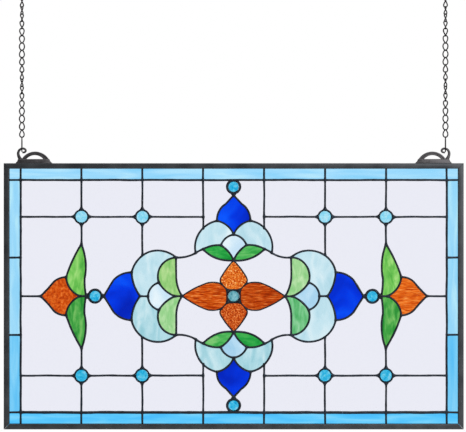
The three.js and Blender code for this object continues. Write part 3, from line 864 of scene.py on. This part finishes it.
CENTRE_SIDE_PETAL = mirrored([hub_side, back(petal_split), *side_petal_edge], 1, -1)

# The slot and the kind of sheet of each sort of pane.
COBALT = ("cobalt_glass", SMOOTH_SHEET)
PEARL = ("pearl_glass", ROLLED_SHEET)
AQUA = ("aqua_glass", ROLLED_SHEET)
GREEN = ("green_glass", ROLLED_SHEET)
GRAINED = ("orange_glass", ROLLED_SHEET)
GRANITE = ("orange_glass", GRANITE_SHEET)

# The glass of sorts that come in more than one colour.
PEARLS = {"left": PALE_PEARL, "right": DEEP_PEARL, "top": PALE_PEARL, "bottom": DEEP_PEARL}
CENTRE_SIDES = {"left": GRAINED_ORANGE, "right": GRAINED_RUST}
CENTRE_ENDS = {"top": GRANITE_ORANGE, "bottom": GRANITE_RUST}
END_BUDS = {"left": MOTTLED_ORANGE, "right": GRAINED_AMBER}
END_LEAVES = {"upper": SPRING_GREEN, "lower": LEAF_GREEN}
TOP_PETALS = {"top": PALE_AQUA, "bottom": DEEP_AQUA}


def coloured_panes():
    """Every coloured pane: CAD node, outline, glass, and its slot and kind of sheet."""
    panes = []

    def add(node, edge, u, v, colour, sort):
        panes.append((node, facing(edge, u, v), colour, sort))

    for side, u in SIDES:
        add(f"{side}_flower_bud", SIDE_BUD, u, 1, COBALT_GLASS, COBALT)
        add(f"{side}_flower_pearl", SIDE_PEARL, u, 1, PEARLS[side], PEARL)
        add(f"{side}_end_bud", END_BUD, u, 1, END_BUDS[side], GRANITE)
        add(f"centre_petal_{side}", CENTRE_SIDE_PETAL, u, 1, CENTRE_SIDES[side], GRAINED)
        for level, v in LEVELS:
            petal = {"left_lower": DEEP_AQUA}.get(f"{side}_{level}", PALE_AQUA)
            leaf = {"left_upper": LIME_GREEN, "right_lower": MINT_GREEN}.get(f"{side}_{level}", PALE_GREEN)
            add(f"{side}_flower_petal_{level}", SIDE_PETAL, u, v, petal, AQUA)
            add(f"{side}_flower_leaf_{level}", SIDE_LEAF, u, v, leaf, GREEN)
            add(f"{side}_end_leaf_{level}", END_LEAF, u, v, END_LEAVES[level], GREEN)
    for end, v in ENDS:
        add(f"{end}_flower_bud", TOP_BUD, 1, v, COBALT_GLASS, COBALT)
        add(f"{end}_flower_pearl", TOP_PEARL, 1, v, PEARLS[end], PEARL)
        add(f"centre_petal_{end}", CENTRE_END_PETAL, 1, v, CENTRE_ENDS[end], GRANITE)
        for side, u in SIDES:
            leaf = FOREST_GREEN if f"{end}_{side}" in ("top_left", "bottom_right") else GRASS_GREEN
            add(f"{end}_flower_petal_{side}", TOP_PETAL, u, v, TOP_PETALS[end], AQUA)
            add(f"{end}_flower_leaf_{side}", TOP_LEAF, u, v, leaf, GREEN)
    return panes


def glaze():
    """Lays every pane. A pane's seed makes its swells its own."""
    for number, (node, edge, colour, (slot, sheet)) in enumerate(coloured_panes()):
        pane = pane_shape(edge, GLASS_THICKNESS, sheet, number)
        pane.piece(f"{node}_pane", colour, slot, [node])
    for quarter, (u, v) in enumerate(QUARTERS):
        node = "clear_glass_right" if u > 0 else "clear_glass_left"
        for number, edge in enumerate(clear_outlines()):
            seed = CLEAR_SEED + 10 * quarter + number
            pane = pane_shape(facing(edge, u, v), GLASS_THICKNESS, SMOOTH_SHEET, seed)
            pane.piece(f"clear_pane_{quarter + 1}_{number + 1}", CLEAR_GLASS, "clear_glass", [node])
    for number, (edge, sky) in enumerate(border_panes()):
        thickness = GLASS_THICKNESS - BORDER_THINNING
        pane = pane_shape(edge, thickness, SMOOTH_SHEET, BORDER_SEED + number)
        pane.piece(f"border_pane_{number + 1}", sky, "sky_glass", ["border_glass"])


def set_jewels():
    """Pressed jewels: a high dome in front, a low one behind."""
    edge = GLASS_THICKNESS / 2
    for name, centre, radius in all_jewels():
        low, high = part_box(f"jewel_{name}")
        front = -low.y / MM
        rear = high.y / MM
        rings = []
        for level in range(1, 2 * JEWEL_LEVELS):
            angle = math.pi / 2 * level / JEWEL_LEVELS
            height, side = (front, -1) if level <= JEWEL_LEVELS else (rear, 1)
            depth = side * (edge + (height - edge) * abs(math.cos(angle)))
            rings.append(flat_ring(strayed(centre), radius * math.sin(angle), depth, JEWEL_STEPS))
        shape = Shape()
        shape.loft(rings)
        if name == "centre":
            colour = TEAL_JEWEL
        elif name.startswith("upper"):
            colour = PALE_JEWEL
        else:
            colour = DEEP_JEWEL
        shape.piece(f"jewel_{name}_glass", colour, "jewel_glass", [f"jewel_{name}"])


# ---- Frame ----

RAIL_SOFTENING = 0.7  # the rounding of a rail's edges
CHANNEL_PLAY = 0.25  # between the glass and the channel that takes it
CHANNEL_DEPTH = 3.5
RAIL_STEP = 12
MITRE_GAP = 0.15  # how far a rail's end stays back from its mitre


def frame_rails():
    """Channel rails with softened edges, mitred at the corners."""
    half = RAIL_DEPTH / 2
    face = RAIL_FACE
    soft = RAIL_SOFTENING
    slot = GLASS_THICKNESS / 2 + CHANNEL_PLAY
    front = [
        (-half + soft, 0), (-half + soft / 3, -soft / 3), (-half, -soft), (-half, soft - face),
        (-half + soft / 3, soft / 3 - face), (-half + soft, -face), (-slot, -face),
        (-slot, CHANNEL_DEPTH - face),
    ]
    section = front + [(-depth, drop) for depth, drop in reversed(front)]
    for quarter_turns, name in enumerate(("top", "right", "bottom", "left")):
        length, edge = (PANEL_HEIGHT, HALF_WIDTH) if quarter_turns % 2 else (PANEL_WIDTH, HALF_HEIGHT)
        shape = Shape()
        rings = []
        count = round(length / RAIL_STEP)
        for index in range(count + 1):
            share = 2 * index / count - 1
            ring = []
            for depth, drop in section:
                along = share * (length / 2 + drop - MITRE_GAP)
                across = edge + drop
                places = ((along, across), (across, -along), (-along, -across), (-across, along))
                ring.append((*places[quarter_turns], depth))
            rings.append(ring)
        shape.loft(rings)
        shape.piece(f"rail_{name}", FRAME_METAL, "frame_metal", [f"frame_rail_{name}"])


# ---- Hanger brackets: s from the chain towards the panel's middle, h up from the frame ----

CHAIN_REACH = 281.2  # a chain's distance from the panel's middle
ARCH_BACK = (-0.4, 35.8, 5.2, 10.3)  # near foot, far foot, base height, rise
ARCH_HOLE = (5.6, 28.6, 5.4, 5.4)
ARCH_STEPS = 28
SPLINE_STEPS = 6  # from each point of a spline to the next
ARCH_SECTION = (  # share of the way from hole to back, half depth
    (0, 1.7), (0.08, 2.4), (0.24, 2.6), (0.38, 2.3), (0.46, 2.1),
    (0.56, 2.3), (0.7, 2.8), (0.92, 2.6), (1, 1.9),
)
SCROLL_SPINE = (
    (-2, 5), (-4.2, 9.4), (-4.9, 13.8), (-3.2, 17.6), (0.2, 19.5),
    (3.4, 19.1), (5.1, 17), (3.8, 14.8), (0.7, 14.3),
)
SCROLL_HALF = 1.55  # half thickness of the scroll
SCROLL_TAPER = 0.35  # how much thinner its tip is
SCROLL_FLARE = 1.2  # and how much thicker its root
SCROLL_SIDES = 12
FOOT_BASE = 0.3
FOOT_OUTLINE = (
    (-8.2, FOOT_BASE), (40.2, FOOT_BASE), (37.6, 2.6), (36.2, 5.6), (-4.8, 5.6), (-6, 2.6),
)
FOOT_SEAT = 0.1  # the height that its base stands at
FOOT_SOFTENING = 0.9
FOOT_END_GAP = 0.2  # its faces stay this far inside its CAD node


def arch_points(arch):
    near, far, base, rise = arch
    return arc_points((at(near, base), at(far, base), rise), (far - near) / ARCH_STEPS)


def spline(points):
    """A smooth line through points (Catmull-Rom)."""
    ends = [Vector(point) for point in (points[0], *points, points[-1])]
    line = []
    for before, start, end, after in zip(ends, ends[1:], ends[2:], ends[3:]):
        for step in range(SPLINE_STEPS):
            t = step / SPLINE_STEPS
            line.append(0.5 * (
                2 * start + (end - before) * t
                + (2 * before - 5 * start + 4 * end - after) * t * t
                + (3 * start - before - 3 * end + after) * t ** 3))
    line.append(ends[-1])
    return line


def bracket(name, u):
    """A cast bracket: a ridged arch and a scroll on a foot."""
    low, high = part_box(f"hanger_bracket_{name}")
    foot_depth = (high.y - low.y) / MM / 2
    shape = Shape()

    def placed(s, h, depth):
        return (u * (CHAIN_REACH - s), HALF_HEIGHT + h, depth)

    rings = []
    for one, other in zip(arch_points(ARCH_HOLE), arch_points(ARCH_BACK)):
        front = [(one.lerp(other, share), -depth) for share, depth in ARCH_SECTION]
        rear = [(one.lerp(other, share), depth) for share, depth in reversed(ARCH_SECTION)]
        rings.append([placed(point.x, point.y, depth) for point, depth in front + rear])
    shape.loft(rings)

    spine = spline(SCROLL_SPINE)
    radii = []
    for index in range(len(spine)):
        along = index / (len(spine) - 1)
        radii.append(SCROLL_HALF - SCROLL_TAPER * along ** 3 + SCROLL_FLARE * (1 - along) ** 6)
    shape.loft(tube_rings([placed(point.x, point.y, 0) for point in spine], radii, SCROLL_SIDES))

    edge = []
    for one, other in sides_of([at(s, h) for s, h in FOOT_OUTLINE]):
        edge.extend(one.lerp(other, share) for share in (0, 0.25, 0.5, 0.75))
    face = foot_depth - FOOT_END_GAP
    body = foot_depth - FOOT_SOFTENING
    rings = []
    for depth, shrink in ((-face, FOOT_SOFTENING), (-body, 0), (body, 0), (face, FOOT_SOFTENING)):
        ring = []
        for point, drawn in zip(inward(edge, shrink), edge):
            on_base = round(drawn.y, 3) == FOOT_BASE
            ring.append(placed(point.x, FOOT_SEAT if on_base else point.y, depth))
        rings.append(ring)
    shape.loft(rings)
    shape.piece(f"bracket_{name}", BRACKET_METAL, "bracket_metal", [f"hanger_bracket_{name}"])


# ---- Chains ----

CHAIN_FOOT = 211.4  # where the links start, above the panel's middle
CHAIN_LINKS = 20
CHAIN_TWIST = math.radians(18.1)  # from each link to the next
FACE_ON_LINK = 1.66  # where in the chain a link would face front
LINK_PITCH = 9.6
LINK_WIDTH = 8.4
LINK_WIRE = 1.75
LINK_BITE = 0.6  # how far a link reaches into the next
LINK_TWIST = math.radians(45)  # of one link's own ends, each way
LOOP_FULLNESS = 0.8
LOOP_STEPS = 40
CONNECTOR_WIRE = 1.2
CONNECTOR_WIDTH = 7.4
CONNECTOR_FOOT = 15.3  # above the frame
HOOK_WIRE = 1.65
HOOK_HEIGHT = 426
HOOK_SEAT_RADIUS = 5.5
HOOK_SEAT_BEND = (-25, 180, 6)  # degrees where the wire's bend starts and ends, and its steps
HOOK_EYE_RADIUS = 3.2
HOOK_EYE_BEND = (0, -190, 4)
HOOK_EYE_DROP = 1.2  # how far the eye reaches into the last link
WIRE_SIDES = 8
HOOK_SIDES = 10


def wire_loop(x, low, high, width, facing_angle, twist):
    """A loop of wire between two heights, which may turn about its own length."""
    points = []
    for turn in turns(LOOP_STEPS):
        angle = turn + math.pi / 2
        across = width / 2 * squarer(math.cos(angle), LOOP_FULLNESS)
        rise = (high - low) / 2 * math.sin(angle)
        aside = facing_angle - twist * math.sin(angle)
        points.append((x + across * math.cos(aside), (low + high) / 2 + rise, across * math.sin(aside)))
    return points


def bend(x, v, radius, turn):
    """Points of a bend in the hook's wire."""
    start, end, steps = turn
    points = []
    for step in range(steps + 1):
        angle = math.radians(start + (end - start) * step / steps)
        points.append((x + radius * math.cos(angle), v + radius * math.sin(angle), 0))
    return points


def chain(name, u):
    """An oval connector, the twisted links, and the S hook that they hang from."""
    x = u * CHAIN_REACH
    shape = Shape()
    for link in range(CHAIN_LINKS):
        foot = CHAIN_FOOT + LINK_PITCH * link - LINK_BITE / 2
        top = foot + LINK_PITCH + LINK_BITE
        facing_angle = CHAIN_TWIST * (link - FACE_ON_LINK)
        points = wire_loop(x, foot, top, LINK_WIDTH - LINK_WIRE, facing_angle, LINK_TWIST)
        shape.loft(wire_rings(points, LINK_WIRE, WIRE_SIDES, closed=True), closed=True)
    foot = HALF_HEIGHT + CONNECTOR_FOOT
    top = CHAIN_FOOT + LINK_BITE / 2
    points = wire_loop(x, foot, top, CONNECTOR_WIDTH, math.pi / 2, 0)
    shape.loft(wire_rings(points, CONNECTOR_WIRE, WIRE_SIDES, closed=True), closed=True)
    last_top = CHAIN_FOOT + LINK_PITCH * CHAIN_LINKS + LINK_BITE / 2
    eye = last_top - HOOK_EYE_DROP + HOOK_EYE_RADIUS
    seat = HOOK_HEIGHT + HOOK_WIRE / 2 - HOOK_SEAT_RADIUS
    line = spline([
        *bend(x, seat, HOOK_SEAT_RADIUS, HOOK_SEAT_BEND),
        *bend(x, eye, HOOK_EYE_RADIUS, HOOK_EYE_BEND),
    ])
    shape.loft(wire_rings(line, HOOK_WIRE, HOOK_SIDES))
    shape.piece(f"chain_{name}", CHAIN_METAL, "chain_metal", [f"hanging_chain_{name}"])


lead_network()
glaze()
set_jewels()
frame_rails()
for side_name, side_sign in SIDES:
    bracket(side_name, side_sign)
for side_name, side_sign in SIDES:
    chain(side_name, side_sign)

# ---- Studio, in metres ----

FLOOR_DROP = 0.12  # below the panel's lower edge
FLOOR_HALF_WIDTH = 1.4
FLOOR_FRONT = -0.9
FLOOR_BACK = 0.7
SEEN_SKY = 1  # strength where the camera sees the white background
LIGHTING_SKY = 0.25  # and where it only lights
CAMERA_DISTANCE = 3.0
CAMERA_SHIFT = -0.0009  # from the panel's middle: sideways
CAMERA_RISE = 0.1065  # and up
VIEW_WIDTH = 1.0144  # how wide the view is, in panel widths


def floor():
    """A plain pale floor below the hanging panel."""
    low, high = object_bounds()
    level = low.z - FLOOR_DROP
    mesh = bpy.data.meshes.new("floor")
    corners = rectangle(-FLOOR_HALF_WIDTH, FLOOR_FRONT, FLOOR_HALF_WIDTH, FLOOR_BACK)
    mesh.from_pydata([(x, y, level) for x, y in corners], [], [(0, 1, 2, 3)])
    look = Look("pale_floor")
    look.ramp("Base Color", look.drawn_noise(3, detail=4), [(0.3, grey(0.78)), (0.7, grey(0.84))])
    set_inputs(look.shader, {"Roughness": 0.8})
    mesh.materials.append(look.material)
    plane = bpy.data.objects.new("floor", mesh)
    scene.collection.objects.link(plane)
    plane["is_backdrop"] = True


def sky():
    """White all round: bright where it is seen, itself or through glass, and softer as a light."""
    world = bpy.data.worlds.new("studio")
    scene.world = world
    world.use_nodes = True
    nodes = world.node_tree.nodes
    link = world.node_tree.links.new
    set_inputs(nodes["Background"], {"Color": (1, 1, 1, 1)})
    path = nodes.new("ShaderNodeLightPath")
    seen = nodes.new("ShaderNodeMath")
    seen.operation = "MAXIMUM"
    link(path.outputs["Is Camera Ray"], seen.inputs[0])
    link(path.outputs["Is Transmission Ray"], seen.inputs[1])
    strength = nodes.new("ShaderNodeMapRange")
    set_inputs(strength, {"To Min": LIGHTING_SKY, "To Max": SEEN_SKY})
    link(seen.outputs["Value"], strength.inputs["Value"])
    link(strength.outputs["Result"], nodes["Background"].inputs["Strength"])


def area_light(name, place, size, power):
    """A soft light that points at the panel's middle."""
    light = bpy.data.lights.new(name, "AREA")
    light.size = size
    light.energy = power
    lamp = bpy.data.objects.new(name, light)
    lamp.location = place
    aim = Vector((0, 0, CENTRE_Z)) - Vector(place)
    lamp.rotation_euler = aim.to_track_quat("-Z", "Y").to_euler()
    scene.collection.objects.link(lamp)


def camera():
    """Straight on, from far enough that the lines stay square, with the chains' tops cut off."""
    lens = bpy.data.cameras.new("view")
    lens.lens = lens.sensor_width * CAMERA_DISTANCE / (VIEW_WIDTH * PANEL_WIDTH * MM)
    eye = bpy.data.objects.new("view", lens)
    eye.location = (CAMERA_SHIFT, -CAMERA_DISTANCE, CENTRE_Z + CAMERA_RISE)
    eye.rotation_euler = (math.pi / 2, 0, 0)
    scene.collection.objects.link(eye)
    scene.camera = eye


floor()
sky()
area_light("key", place=(0.75, -0.9, 0.1), size=0.7, power=12)
area_light("top", place=(0.2, -0.2, 2.2), size=2.6, power=70)
camera()
scene.view_settings.view_transform = "Standard"
